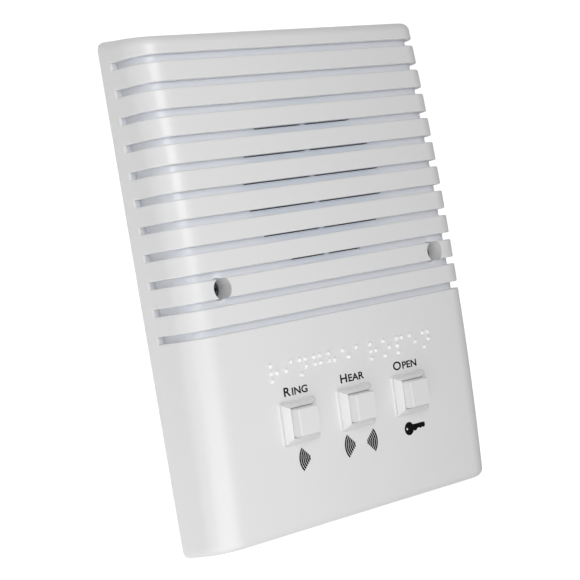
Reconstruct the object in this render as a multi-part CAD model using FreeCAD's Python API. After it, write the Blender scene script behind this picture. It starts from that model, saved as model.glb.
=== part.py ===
import FreeCAD, Part
import math
import os

# Intercom speaker station for a wall: a moulded cover with a grille and three push buttons, a
# loudspeaker and a circuit board behind it, and the steel plate that the cover is screwed to.
# X runs across the panel, Y into the wall and Z up. The origin is the centre of the wall side.
# All sizes are in millimetres and all angles in degrees.

# Cover
cover_width = 125.6
cover_height = 161.4
edge_depth = 18.9
face_crown = 3.2
side_draft = 1.3
top_draft = 5.7
bottom_draft = 4.3
front_corner_radius = 9.2
rim_radius = 3.0
lower_wall = 2.5
boss_overlap = 0.5

# Grille grooves, counted from the top
groove_count = 11
groove_pitch = 8.467
groove_height = 2.3
groove_depth = 2.5
groove_lip_radius = 0.45
groove_floor_wall = 1.5
first_groove_below_top = 7.5
groove_end_from_wall = 5.0

# Slits over the loudspeaker, inside an oval
vent_below_top = 52.1
vent_half_width = 30.2
vent_half_height = 27.0
vent_rib_width = 2.0
slit_height = 0.35

# Cover screws and their wells
cover_screw_spacing = 96.0
cover_screw_end_gap = 0.6
screw_well_radius = 3.5
screw_well_wall = 1.8
screw_head_radius = 3.0
screw_head_height = 2.4
screw_head_edge_radius = 0.8
screw_head_sunk = 5.0
screw_thread_radius = 1.7
screw_clearance = 0.2
thread_clearance = 0.05
cross_recess_width = 1.0
cross_recess_span = 3.6
cross_recess_depth = 1.4

# Wall plate
plate_thickness = 1.2
plate_clearance = 0.5
plate_corner_radius = 5.0
tapped_collar_height = 3.0
tapped_collar_wall = 1.2
cable_window_width = 50.0
cable_window_height = 52.0
cable_window_radius = 4.0
box_slot_spacing_x = 46.04
box_slot_spacing_z = 83.3
box_slot_radius = 2.0
box_slot_length = 8.0

# Button row
button_pitch = 25.4
button_row_above_bottom = 35.65
collar_width = 15.0
collar_height = 12.8
collar_edge_step = 1.2
collar_edge_radius = 0.25
collar_rise = 2.15
collar_land = 0.3
collar_lip = 0.15
collar_corner_radius = 0.6
collar_cove_radius = 0.5
collar_root = 1.2
cap_width = 9.1
cap_gap = 0.15
cap_proud = 5.4
cap_taper = 0.25
cap_lean = 1.5
cap_corner_radius = 0.6
cap_edge_radius = 0.4
cap_flange_width = 1.1
cap_flange_thickness = 1.0
cap_flange_gap = 0.3

# Push switches
switch_width = 12.0
switch_corner_radius = 0.6
button_travel = 2.0
switch_lid = 0.8
switch_base = 0.5
switch_chamber_radius = 4.2
switch_stem_width = 4.0
switch_stem_gap = 0.25
switch_stem_grip = 3.2
switch_socket_gap = 0.03
switch_flange_radius = 3.6
switch_flange_thickness = 0.8
switch_flange_gap = 0.1
switch_pin_radius = 0.4
switch_pin_length = 2.6
switch_pin_spread = 4.5
spring_wire_radius = 0.22
spring_turns = 3
spring_closed_height = 0.8
spring_foot_radius = 3.5
spring_top_radius = 2.4
spring_seat_gap = 0.02

# Raised dots: cells of two columns and three rows, for the words ring, hear and open
dot_radius = 0.75
dot_height = 0.8
dot_root = 0.6
dot_spacing = 2.39
dot_cell_pitch = 6.35
dot_row_above_buttons = 18.75
dot_cells_offset = 2.0
ring_dots = [(1, 2, 3, 5), (2, 4), (1, 3, 4, 5), (1, 2, 4, 5)]
hear_dots = [(1, 2, 5), (1, 5), (1,), (1, 2, 3, 5)]
open_dots = [(1, 3, 5), (1, 2, 3, 4), (1, 5), (1, 3, 4, 5)]

# Circuit board and its fasteners
board_front_y = -9.5
board_thickness = 1.6
board_width = 82.0
board_below_buttons = 22.95
board_above_buttons = 24.05
board_corner_radius = 1.1
board_screw_inset = 4.5
board_boss_radius = 3.2
small_screw_radius = 1.2
small_pilot_radius = 1.22
small_head_radius = 2.4
small_head_height = 1.5
small_head_edge_radius = 0.75
small_screw_end_gap = 0.2
small_hole_radius = 1.5
board_screw_grip = 5.0
slot_width = 0.6
slot_depth = 0.7

# Loudspeaker, from its cloth back towards the wall
speaker_seat_y = -16.2
speaker_radius = 33.0
speaker_ring_radius = 35.0
speaker_gap = 0.3
cloth_thickness = 0.3
gasket_thickness = 0.8
gasket_inner_radius = 30.8
surround_thickness = 0.3
flange_thickness = 0.8
flange_inner_radius = 29.5
basket_thickness = 0.8
basket_depth = 7.0
basket_shoulder_radius = 28.2
basket_shoulder_depth = 2.6
basket_ledge_depth = 5.2
basket_ledge_outer_radius = 20.0
basket_ledge_inner_radius = 17.0
basket_floor_radius = 16.0
basket_window_radius = 3.4
basket_window_count = 6
top_plate_radius = 15.0
top_plate_thickness = 1.5
magnet_radius = 16.0
magnet_inner_radius = 9.0
magnet_thickness = 2.6
yoke_radius = 15.0
yoke_thickness = 1.5
pole_radius = 6.5
coil_gap = 0.4
coil_former_thickness = 0.15
coil_winding_thickness = 0.35
coil_winding_height = 2.0
coil_former_front_above_plate = 3.3
cone_thickness = 0.3
cone_edge_radius = 25.5
surround_roll_depth = 1.3
surround_lip_width = 1.0
dust_cap_radius = 8.6
dust_cap_height = 1.6
spider_thickness = 0.2
spider_roll_height = 0.4
spider_roll_count = 3

# Clamps that hold the loudspeaker's flange
clamp_count = 4
clamp_thickness = 0.8
clamp_width = 7.0
clamp_bite = 2.0
clamp_corner_radius = 1.1
clamp_screw_from_flange = 5.0
clamp_boss_radius = 3.2
clamp_pilot_into_wall = 0.5
clamp_end_margin = 3.2

# Speaker terminal strip and leads
strip_width = 14.0
strip_height = 7.0
strip_thickness = 1.0
strip_overlap = 2.0
tag_width = 2.6
tag_height = 4.0
tag_thickness = 0.3
tag_spacing = 8.0
lead_radius = 0.65
lead_bend_radius = 2.5
lead_overlap = 2.5
red_lead_drop = 5.5
black_lead_drop = 8.5

# Parts on the circuit board
terminal_ways = 6
terminal_pitch = 5.0
terminal_depth = 8.6
terminal_height = 5.6
terminal_below_board_top = 9.5
terminal_screw_radius = 1.5
terminal_screw_length = 2.4
terminal_screw_sunk = 0.4
terminal_wire_hole = 2.4
terminal_wire_hole_depth = 6.0
header_x = 22.0
header_width = 9.4
header_height = 5.0
header_length = 6.5
header_wall = 0.9
plug_length = 8.0
plug_grip = 4.8
plug_margin = 0.1
lead_pitch = 2.5
capacitor_radius = 4.0
capacitor_height = 7.0
capacitor_edge_radius = 0.3
capacitor_x = 20.0
part_row_above_board_bottom = 8.0
resistor_radius = 1.2
resistor_length = 6.3
resistor_wire_radius = 0.3
resistor_wire_reach = 1.6
resistor_wire_bend = 0.6
resistor_x = -20.0
resistor_spacing = 4.5

# Places worked out from the sizes above
half_width = cover_width / 2
half_height = cover_height / 2
crown_radius = (half_height ** 2 + face_crown ** 2) / (2 * face_crown)
far = 2 * max(cover_width, cover_height)
touch = 0.01
upper_wall = groove_depth + groove_floor_wall
groove_tops = [half_height - first_groove_below_top - i * groove_pitch for i in range(groove_count)]
wall_step_z = groove_tops[-1] - groove_height - upper_wall
vent_z = half_height - vent_below_top
button_z = -half_height + button_row_above_bottom
button_columns = [("left", -button_pitch), ("centre", 0.0), ("right", button_pitch)]
cover_screw_columns = [-cover_screw_spacing / 2, cover_screw_spacing / 2]
board_top = button_z + board_above_buttons
board_bottom = button_z - board_below_buttons
board_back_y = board_front_y + board_thickness
board_screw_x = board_width / 2 - board_screw_inset
board_screw_places = [
    (x, z)
    for x in (-board_screw_x, board_screw_x)
    for z in (board_top - board_screw_inset, board_bottom + board_screw_inset)
]
switch_flange_back = switch_lid + switch_flange_gap + switch_flange_thickness
switch_height = switch_flange_back + button_travel + spring_closed_height + switch_base
cloth_back_y = speaker_seat_y + cloth_thickness
surround_front_y = cloth_back_y + gasket_thickness
flange_front_y = surround_front_y + surround_thickness
flange_back_y = flange_front_y + flange_thickness
basket_back_y = flange_front_y + basket_depth
top_plate_back_y = basket_back_y + top_plate_thickness
magnet_back_y = top_plate_back_y + magnet_thickness
coil_inner_radius = pole_radius + coil_gap
coil_outer_radius = coil_inner_radius + coil_former_thickness + coil_winding_thickness
coil_bore_radius = coil_outer_radius + coil_gap
former_front_y = basket_back_y - coil_former_front_above_plate
clamp_screw_radius = speaker_radius + clamp_screw_from_flange


def vec(x, y, z):
    return FreeCAD.Vector(x, y, z)


def face_y(z):
    # y of the crowned face at height z: an arc over the cover's height
    return -(edge_depth + face_crown - crown_radius + math.sqrt(crown_radius ** 2 - z ** 2))


def side_x(y):
    # half the cover's width at depth y, where the drafted sides are narrower towards the face
    return half_width + y * math.tan(math.radians(side_draft))


def top_z(y):
    # height of the cover's top wall at depth y
    return half_height + y * math.tan(math.radians(top_draft))


def bottom_z(y):
    return -half_height - y * math.tan(math.radians(bottom_draft))


def rectangle(half_x, half_z, y):
    corners = [(-half_x, -half_z), (half_x, -half_z), (half_x, half_z), (-half_x, half_z)]
    points = [vec(x, y, z) for x, z in corners]
    return Part.makePolygon(points + points[:1])


def cover_outline(y, inset):
    # the cover's outline at depth y, moved in by inset
    half_x = side_x(y) - inset
    low = bottom_z(y) + inset
    high = top_z(y) - inset
    corners = [(-half_x, low), (half_x, low), (half_x, high), (-half_x, high)]
    points = [vec(x, y, z) for x, z in corners]
    return Part.makePolygon(points + points[:1])


def box(x, y, z, size_x, size_y, size_z):
    # a box centred on x and z, that starts at y and runs towards the wall
    return Part.makeBox(size_x, size_y, size_z, vec(x - size_x / 2, y, z - size_z / 2))


def cylinder(x, y, z, radius, length):
    # a cylinder along Y that starts at y and runs towards the wall
    return Part.makeCylinder(radius, length, vec(x, y, z), vec(0, 1, 0))


def revolved(profile, z):
    # a ring about the Y line at height z, from (radius, y) corners
    points = [vec(radius, y, z) for radius, y in profile]
    face = Part.Face(Part.makePolygon(points + points[:1]))
    return face.revolve(vec(0, 0, z), vec(0, 1, 0), 360)


def ring(outer_radius, inner_radius, y, thickness, z):
    return cylinder(0, y, z, outer_radius, thickness).cut(cylinder(0, y, z, inner_radius, thickness))


def rounded_plate(width, height, radius, y, thickness):
    plate = box(0, y, 0, width, thickness, height)
    return plate.makeFillet(radius, edges_along_y(plate))


def edges_along_y(shape):
    def runs_along_y(edge):
        ends = [vertex.Point for vertex in edge.Vertexes]
        return len(ends) == 2 and (ends[1] - ends[0]).cross(vec(0, 1, 0)).Length < 1e-6
    return [edge for edge in shape.Edges if runs_along_y(edge)]


def middle(edge):
    return edge.valueAt((edge.FirstParameter + edge.LastParameter) / 2)


def sizes_along(edge, axis):
    values = [getattr(vertex.Point, axis) for vertex in edge.Vertexes]
    return max(values) - min(values)


def on_circle(count, radius, z, start):
    # places evenly spaced on a circle about the speaker's axis
    angles = [math.radians(start + 360 * i / count) for i in range(count)]
    return [(radius * math.cos(angle), z + radius * math.sin(angle)) for angle in angles]


def cover_form(inset, rim):
    # the cover's outer form moved in by inset: a crowned slab cut to drafted sides, with large
    # rounds down its left and right front edges, and a rim round along the top and bottom
    front_y = face_y(0) - lower_wall
    back_y = 0 if inset == 0 else lower_wall
    sides = Part.makeLoft([cover_outline(back_y, inset), cover_outline(front_y, inset)], True, True)
    low = vec(-far, face_y(half_height) + inset, -half_height)
    mid = vec(-far, face_y(0) + inset, 0)
    high = vec(-far, face_y(half_height) + inset, half_height)
    behind_high = vec(-far, far, half_height)
    behind_low = vec(-far, far, -half_height)
    outline = Part.Wire([
        Part.Arc(low, mid, high).toShape(),
        Part.makeLine(high, behind_high),
        Part.makeLine(behind_high, behind_low),
        Part.makeLine(behind_low, low),
    ])
    form = sides.common(Part.Face(outline).extrude(vec(2 * far, 0, 0)))
    tall_edges = [edge for edge in form.Edges if sizes_along(edge, "z") > half_height]
    front_corners = [edge for edge in tall_edges if middle(edge).y < -edge_depth / 2]
    form = form.makeFillet(front_corner_radius - inset, front_corners)
    if rim == 0:
        return form
    rims = [edge for edge in form.Edges if is_rim(edge)]
    return form.makeFillet(rim, rims)


def is_rim(edge):
    # edges between the top or bottom wall and the sides or the face
    place = middle(edge)
    off_end = min(abs(place.z - top_z(place.y)), abs(place.z - bottom_z(place.y)))
    return off_end < touch and place.y < -touch and sizes_along(edge, "z") < face_crown


def cavity_form(overlap):
    # the hollow behind the face: the grille's wall is as thick as its grooves and their floor
    upper = cover_form(upper_wall - overlap, 0)
    lower = cover_form(lower_wall - overlap, 0)
    step = wall_step_z - overlap
    above = upper.common(box(0, -far, step + far, 2 * far, 2 * far, 2 * far))
    below = lower.common(box(0, -far, step - far, 2 * far, 2 * far, 2 * far))
    return above.fuse(below)


def groove_cutter():
    slabs = []
    for top in groove_tops:
        slab = box(0, -far, top - groove_height / 2, 2 * far, far - groove_end_from_wall, groove_height)
        slabs.append(slab)
    return Part.makeCompound(slabs).cut(cover_form(groove_depth, 0))


def is_groove_lip(edge):
    # edges where the grooves open into the cover's outer surface
    place = middle(edge)
    if place.y > touch - groove_end_from_wall or sizes_along(edge, "z") > groove_height + touch:
        return False
    off_level = min(min(abs(place.z - top), abs(place.z - top + groove_height)) for top in groove_tops)
    at_end = abs(place.y + groove_end_from_wall) < touch
    if off_level > touch and not at_end:
        return False
    wall_x = side_x(place.y)
    on_side = abs(abs(place.x) - wall_x) < touch
    on_face = abs(place.y - face_y(place.z)) < touch
    return on_side or on_face or in_front_corner(place, wall_x)


def in_front_corner(place, wall_x):
    # on the round between a side and the face, and not on the groove's floor below it
    corner_x = wall_x - front_corner_radius
    corner_y = face_y(place.z) + front_corner_radius
    reach = math.hypot(abs(place.x) - corner_x, place.y - corner_y)
    beside = abs(place.x) > corner_x - groove_lip_radius and place.y < corner_y + groove_lip_radius
    return beside and reach > front_corner_radius - groove_depth / 2


def with_grooves(form):
    grooved = form.cut(groove_cutter())
    lips = [edge for edge in grooved.Edges if is_groove_lip(edge)]
    return grooved.makeFillet(groove_lip_radius, lips)


def crown_tilt(z):
    # the turn about X that lays a flat piece on the face at height z
    return math.degrees(math.asin(-z / crown_radius))


def collar_at(x):
    # a raised frame round a button: a straight edge, a narrow land, and a slope up to the cap
    opening_x = cap_width / 2 + cap_gap + collar_lip
    base = box(0, -collar_edge_step, 0, collar_width, collar_edge_step + collar_root, collar_height)
    base = base.makeFillet(collar_corner_radius, edges_along_y(base))
    front_edges = [edge for edge in base.Edges if abs(middle(edge).y + collar_edge_step) < touch]
    base = base.makeFillet(collar_edge_radius, front_edges)
    slope = Part.makeLoft(
        [
            rectangle(collar_width / 2 - collar_land, collar_height / 2 - collar_land, -collar_edge_step),
            rectangle(opening_x, opening_x, -collar_rise),
        ],
        True,
        True,
    )
    collar = base.fuse(slope).removeSplitter()
    collar.rotate(vec(0, 0, 0), vec(1, 0, 0), crown_tilt(button_z))
    collar.translate(vec(x, face_y(button_z), button_z))
    return collar


def is_collar_foot(edge, x):
    # edges where a collar meets the crowned face
    place = middle(edge)
    off_x = abs(place.x - x) - collar_width / 2
    off_z = abs(place.z - button_z) - collar_height / 2
    at_outline = max(off_x, off_z) < collar_land and max(off_x, off_z) > -collar_land
    return at_outline and abs(place.y - face_y(place.z)) < 2 * touch


def with_collars(form):
    for name, x in button_columns:
        form = form.fuse(collar_at(x))
        feet = [edge for edge in form.Edges if is_collar_foot(edge, x)]
        form = form.makeFillet(collar_cove_radius, feet)
    return form


def dot_places():
    # dots 1 to 3 run down the left column of a cell and dots 4 to 6 down the right one
    cells = ring_dots + hear_dots + open_dots
    first_x = dot_cells_offset - (len(cells) - 1) * dot_cell_pitch / 2
    places = []
    for i, cell in enumerate(cells):
        for dot in cell:
            column = (dot - 1) // 3
            row = (dot - 1) % 3
            x = first_x + i * dot_cell_pitch + (column - 0.5) * dot_spacing
            places.append((x, button_z + dot_row_above_buttons - row * dot_spacing))
    return places


def raised_dot():
    # half a ball on a short stem that is rooted in the face
    straight = dot_height - dot_radius
    part_way = dot_radius * math.sqrt(0.5)
    top = vec(0, -dot_height, 0)
    shoulder = vec(part_way, -straight - part_way, 0)
    side = vec(dot_radius, -straight, 0)
    foot = vec(dot_radius, dot_root, 0)
    centre = vec(0, dot_root, 0)
    outline = Part.Wire([
        Part.Arc(top, shoulder, side).toShape(),
        Part.makeLine(side, foot),
        Part.makeLine(foot, centre),
        Part.makeLine(centre, top),
    ])
    return Part.Face(outline).revolve(vec(0, 0, 0), vec(0, 1, 0), 360)


def raised_dots():
    dots = []
    for x, z in dot_places():
        dot = raised_dot()
        dot.translate(vec(x, face_y(z), z))
        dots.append(dot)
    return dots


def slit_cutters():
    # a slit along the top of each groove's floor, inside the oval and split by the centre rib
    cutters = []
    for top in groove_tops:
        rise = (top - vent_z) / vent_half_height
        if abs(rise) >= 1:
            continue
        reach = vent_half_width * math.sqrt(1 - rise ** 2)
        length = reach - vent_rib_width / 2
        if length < vent_rib_width:
            continue
        start = face_y(top) + groove_depth / 2
        for side in (-1, 1):
            x = side * (reach + vent_rib_width / 2) / 2
            cutters.append(box(x, start, top - slit_height / 2, length, upper_wall, slit_height))
    return cutters


def cover_screw_seat_y():
    return face_y(0) + screw_head_sunk + screw_head_height


def cover_bosses():
    bosses = []
    collar_front_y = -(plate_thickness + tapped_collar_height)
    for x in cover_screw_columns:
        bosses.append(cylinder(x, -far, 0, screw_well_radius + screw_well_wall, far + collar_front_y))
    for x, z in board_screw_places:
        bosses.append(cylinder(x, -far, z, board_boss_radius, far + board_front_y))
    for x, z in on_circle(clamp_count, clamp_screw_radius, vent_z, 45):
        bosses.append(cylinder(x, -far, z, clamp_boss_radius, far + flange_back_y))
    bosses.append(ring(speaker_ring_radius, gasket_inner_radius, -far, far + speaker_seat_y, vent_z))
    return bosses


def cover_holes():
    holes = []
    seat_y = cover_screw_seat_y()
    for x in cover_screw_columns:
        holes.append(cylinder(x, -far, 0, screw_well_radius, far + seat_y))
        holes.append(cylinder(x, seat_y, 0, screw_thread_radius + screw_clearance, far))
    for x, z in board_screw_places:
        holes.append(cylinder(x, board_front_y - board_screw_grip, z, small_pilot_radius, far))
    for x, z in on_circle(clamp_count, clamp_screw_radius, vent_z, 45):
        holes.append(cylinder(x, clamp_pilot_start(z), z, small_pilot_radius, far))
    for name, x in button_columns:
        side = cap_width + 2 * cap_gap
        holes.append(box(x, -far, button_z, side, far + board_front_y, side))
    return holes


def clamp_pilot_start(z):
    return face_y(z) + upper_wall - clamp_pilot_into_wall


def front_cover():
    cover = cover_form(0, rim_radius)
    cover = with_collars(cover).fuse(raised_dots())
    cover = with_grooves(cover)
    cover = cover.cut(cavity_form(0))
    root = cavity_form(boss_overlap)
    for boss in cover_bosses():
        cover = cover.fuse(boss.common(root))
    seat = cylinder(0, speaker_seat_y, vent_z, speaker_radius + speaker_gap, far)
    return cover.cut(cover_holes() + slit_cutters() + [seat]).removeSplitter()


def wall_plate():
    width = 2 * (side_x(-plate_thickness) - upper_wall - plate_clearance)
    half = min(top_z(-plate_thickness), -bottom_z(-plate_thickness))
    height = 2 * (half - upper_wall - plate_clearance)
    plate = rounded_plate(width, height, plate_corner_radius, -plate_thickness, plate_thickness)
    window = rounded_plate(cable_window_width, cable_window_height, cable_window_radius, -far, 2 * far)
    plate = plate.cut(window)
    for x in (-box_slot_spacing_x / 2, box_slot_spacing_x / 2):
        for z in (-box_slot_spacing_z / 2, box_slot_spacing_z / 2):
            plate = plate.cut(slot_at(x, z))
    for x in cover_screw_columns:
        bore = screw_thread_radius + thread_clearance
        front_y = -plate_thickness - tapped_collar_height
        plate = plate.fuse(cylinder(x, front_y, 0, bore + tapped_collar_wall, tapped_collar_height))
        plate = plate.cut(cylinder(x, -far, 0, bore, 2 * far))
    return plate.removeSplitter()


def slot_at(x, z):
    straight = box_slot_length - 2 * box_slot_radius
    slot = box(x, -far, z, straight, 2 * far, 2 * box_slot_radius)
    for side in (-1, 1):
        slot = slot.fuse(cylinder(x + side * straight / 2, -far, z, box_slot_radius, 2 * far))
    return slot


def cross_recess(x, y, z):
    wide = box(x, y, z, cross_recess_span, cross_recess_depth, cross_recess_width)
    tall = box(x, y, z, cross_recess_width, cross_recess_depth, cross_recess_span)
    return wide.fuse(tall)


def cover_screw(x):
    seat_y = cover_screw_seat_y()
    head_y = seat_y - screw_head_height
    head = cylinder(x, head_y, 0, screw_head_radius, screw_head_height)
    rim = [edge for edge in head.Edges if abs(middle(edge).y - head_y) < touch]
    head = head.makeFillet(screw_head_edge_radius, rim)
    shank = cylinder(x, seat_y, 0, screw_thread_radius, -seat_y - cover_screw_end_gap)
    return head.fuse(shank).cut(cross_recess(x, head_y, 0))


def cap_face_y():
    return face_y(button_z) - cap_proud


def cap_flange_front_y():
    # behind the cover's inner surface, where that surface comes nearest
    edge_z = button_z - cap_width / 2 - cap_flange_width
    return face_y(edge_z) + lower_wall + cap_flange_gap


def button_cap(x):
    # a tapered square key with a leaning face, a flange behind the cover, and a stem socket
    face = cap_face_y()
    flange_y = cap_flange_front_y()
    back_y = flange_y + cap_flange_thickness
    collar_y = face_y(button_z) - collar_rise
    reach = face - cap_width / 4
    half_back = cap_width / 2
    half_front = half_back - cap_taper * (collar_y - reach) / (collar_y - face)
    ends = [rectangle(half_back, half_back, collar_y), rectangle(half_front, half_front, reach)]
    stem = box(0, collar_y, 0, cap_width, back_y - collar_y, cap_width)
    body = stem.fuse(Part.makeLoft(ends, True, True))
    long_edges = [edge for edge in body.Edges if sizes_along(edge, "y") > cap_flange_thickness]
    body = body.makeFillet(cap_corner_radius, long_edges)
    trim = box(0, -far, 0, far, far, far)
    trim.rotate(vec(0, 0, 0), vec(1, 0, 0), crown_tilt(button_z) - cap_lean)
    trim.translate(vec(0, face, 0))
    body = body.cut(trim)
    flat_edges = [edge for edge in body.Edges if sizes_along(edge, "y") < cap_flange_thickness]
    front_edges = [edge for edge in flat_edges if middle(edge).y < face + cap_width / 4]
    body = body.makeFillet(cap_edge_radius, front_edges)
    side = cap_width + 2 * cap_flange_width
    body = body.fuse(box(0, flange_y, 0, side, cap_flange_thickness, side))
    socket = switch_stem_width + 2 * switch_socket_gap
    body = body.cut(box(0, back_y - switch_stem_grip, 0, socket, switch_stem_grip, socket))
    body.translate(vec(x, 0, button_z))
    return body.removeSplitter()


def switch_front_y():
    return board_front_y - switch_height


def switch_body(x):
    front_y = switch_front_y()
    body = box(x, front_y, button_z, switch_width, switch_height, switch_width)
    body = body.makeFillet(switch_corner_radius, edges_along_y(body))
    chamber_depth = switch_height - switch_lid - switch_base
    body = body.cut(cylinder(x, front_y + switch_lid, button_z, switch_chamber_radius, chamber_depth))
    opening = switch_stem_width + 2 * switch_stem_gap
    return body.cut(box(x, front_y - switch_lid, button_z, opening, 2 * switch_lid, opening))


def switch_plunger(x):
    flange_y = switch_front_y() + switch_lid + switch_flange_gap
    stem_front = cap_flange_front_y() + cap_flange_thickness - switch_stem_grip
    stem = box(x, stem_front, button_z, switch_stem_width, flange_y - stem_front, switch_stem_width)
    flange = cylinder(x, flange_y, button_z, switch_flange_radius, switch_flange_thickness)
    return stem.fuse(flange)


def switch_pin_places():
    places = []
    for name, x in button_columns:
        for dx in (-switch_pin_spread, switch_pin_spread):
            for dz in (-switch_pin_spread, switch_pin_spread):
                places.append((x + dx, button_z + dz))
    return places


def switch_pins():
    pins = []
    for x, z in switch_pin_places():
        pins.append(cylinder(x, board_front_y, z, switch_pin_radius, switch_pin_length))
    return Part.makeCompound(pins)


def tangent_arc(start, end, direction):
    # an arc from start to end that leaves start along direction
    chord = end - start
    along = vec(chord.x, chord.y, chord.z).normalize()
    side = direction - along * direction.dot(along)
    half_turn = direction.getAngle(along)
    bulge = side.normalize() * (chord.Length / 2 * math.tan(half_turn / 2))
    return Part.Arc(start, start + chord / 2 + bulge, end).toShape()


def biarc(start, start_direction, end, end_direction):
    # two arcs that meet in one tangent and keep both end directions
    chord = end - start
    both = start_direction + end_direction
    spread = 2 * (1 - start_direction.dot(end_direction))
    reach = chord.dot(both)
    length = (math.sqrt(reach ** 2 + spread * chord.dot(chord)) - reach) / spread
    joint = (start + end + (start_direction - end_direction) * length) / 2
    back = tangent_arc(end, joint, end_direction * -1)
    return [tangent_arc(start, joint, start_direction), back]


def switch_spring(x):
    # a conical spring that can close flat: its foot is on the chamber floor
    top_y = switch_front_y() + switch_lid + switch_flange_gap + switch_flange_thickness
    foot_y = board_front_y - switch_base
    inset = spring_wire_radius + spring_seat_gap
    rise = foot_y - top_y - 2 * inset
    full_angle = 2 * math.pi * spring_turns

    def point(angle):
        share = angle / full_angle
        radius = spring_foot_radius + (spring_top_radius - spring_foot_radius) * share
        return vec(
            x + radius * math.cos(angle),
            foot_y - inset - rise * share,
            button_z + radius * math.sin(angle),
        )

    def direction(angle):
        return (point(angle + touch) - point(angle - touch)).normalize()

    edges = []
    for i in range(4 * spring_turns):
        start = i * math.pi / 2
        end = start + math.pi / 2
        edges += biarc(point(start), direction(start), point(end), direction(end))
    path = Part.Wire(Part.__sortEdges__(edges))
    circle = Part.Circle(point(0), direction(0), spring_wire_radius).toShape()
    return path.makePipeShell([Part.Wire([circle])], True, False)


def circuit_board():
    height = board_top - board_bottom
    board = box(0, board_front_y, board_bottom + height / 2, board_width, board_thickness, height)
    board = board.makeFillet(board_corner_radius, edges_along_y(board))
    for x, z in board_screw_places:
        board = board.cut(cylinder(x, board_front_y, z, small_hole_radius, board_thickness))
    for x, z in switch_pin_places():
        radius = switch_pin_radius + thread_clearance
        board = board.cut(cylinder(x, board_front_y, z, radius, board_thickness))
    return board


def small_screw(x, z, seat_y, length):
    # a pan-head screw driven from the wall side, with a slot
    shank = cylinder(x, seat_y - length, z, small_screw_radius, length)
    head = cylinder(x, seat_y, z, small_head_radius, small_head_height)
    back_y = seat_y + small_head_height
    rim = [edge for edge in head.Edges if abs(middle(edge).y - back_y) < touch]
    head = head.makeFillet(small_head_edge_radius, rim)
    slot = box(x, back_y - slot_depth, z, 2 * small_head_radius, slot_depth, slot_width)
    return shank.fuse(head).cut(slot)


def board_screws():
    length = board_thickness + board_screw_grip - small_screw_end_gap
    screws = [small_screw(x, z, board_back_y, length) for x, z in board_screw_places]
    return Part.makeCompound(screws)


def speaker_cloth():
    return cylinder(0, speaker_seat_y, vent_z, speaker_radius, cloth_thickness)


def speaker_gasket():
    return ring(speaker_radius, gasket_inner_radius, cloth_back_y, gasket_thickness, vent_z)


def speaker_basket():
    ledge_y = flange_front_y + basket_ledge_depth
    shoulder_y = flange_front_y + basket_shoulder_depth
    thick = basket_thickness
    profile = [
        (speaker_radius, flange_front_y),
        (speaker_radius, flange_back_y),
        (flange_inner_radius, flange_back_y),
        (basket_shoulder_radius + thick, shoulder_y + thick),
        (basket_ledge_outer_radius, ledge_y + thick),
        (basket_ledge_inner_radius, ledge_y + thick),
        (basket_floor_radius, basket_back_y),
        (coil_bore_radius, basket_back_y),
        (coil_bore_radius, basket_back_y - thick),
        (basket_floor_radius - thick, basket_back_y - thick),
        (basket_ledge_inner_radius - thick, ledge_y),
        (basket_ledge_outer_radius, ledge_y),
        (basket_shoulder_radius, shoulder_y),
        (flange_inner_radius - thick, flange_front_y),
    ]
    basket = revolved(profile, vent_z)
    middle_radius = (basket_shoulder_radius + basket_ledge_outer_radius) / 2
    for x, z in on_circle(basket_window_count, middle_radius, vent_z, 0):
        basket = basket.cut(cylinder(x, flange_front_y, z, basket_window_radius, basket_depth))
    return basket


def speaker_top_plate():
    return ring(top_plate_radius, coil_bore_radius, basket_back_y, top_plate_thickness, vent_z)


def speaker_magnet():
    return ring(magnet_radius, magnet_inner_radius, top_plate_back_y, magnet_thickness, vent_z)


def speaker_yoke():
    plate = cylinder(0, magnet_back_y, vent_z, yoke_radius, yoke_thickness)
    pole = cylinder(0, basket_back_y, vent_z, pole_radius, magnet_back_y - basket_back_y)
    return plate.fuse(pole).removeSplitter()


def voice_coil():
    former = coil_inner_radius + coil_former_thickness
    back_y = (basket_back_y + top_plate_back_y + coil_winding_height) / 2
    profile = [
        (coil_inner_radius, former_front_y),
        (former, former_front_y),
        (former, back_y - coil_winding_height),
        (coil_outer_radius, back_y - coil_winding_height),
        (coil_outer_radius, back_y),
        (coil_inner_radius, back_y),
    ]
    return revolved(profile, vent_z)


def cone_y(radius):
    # front surface of the cone between its neck on the coil former and its edge
    neck = coil_inner_radius + coil_former_thickness
    share = (radius - neck) / (cone_edge_radius - neck)
    edge_y = flange_front_y + cone_thickness
    neck_y = former_front_y + cone_thickness
    return neck_y + (edge_y - neck_y) * share


def speaker_cone():
    neck = coil_inner_radius + coil_former_thickness
    profile = [
        (neck, cone_y(neck)),
        (cone_edge_radius, cone_y(cone_edge_radius)),
        (cone_edge_radius, cone_y(cone_edge_radius) + cone_thickness),
        (neck, cone_y(neck) + cone_thickness),
    ]
    return revolved(profile, vent_z)


def half_roll(inner, outer, y, thickness, depth):
    # a rolled ring: an arc from inner to outer that dips towards the wall, as a closed profile
    centre = (inner + outer) / 2
    front = [vec(inner, y, vent_z), vec(centre, y + depth, vent_z), vec(outer, y, vent_z)]
    back = [point + vec(0, thickness, 0) for point in front]
    outline = Part.Wire([
        Part.Arc(*front).toShape(),
        Part.makeLine(front[2], back[2]),
        Part.Arc(back[2], back[1], back[0]).toShape(),
        Part.makeLine(back[0], front[0]),
    ])
    return Part.Face(outline).revolve(vec(0, 0, vent_z), vec(0, 1, 0), 360)


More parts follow.
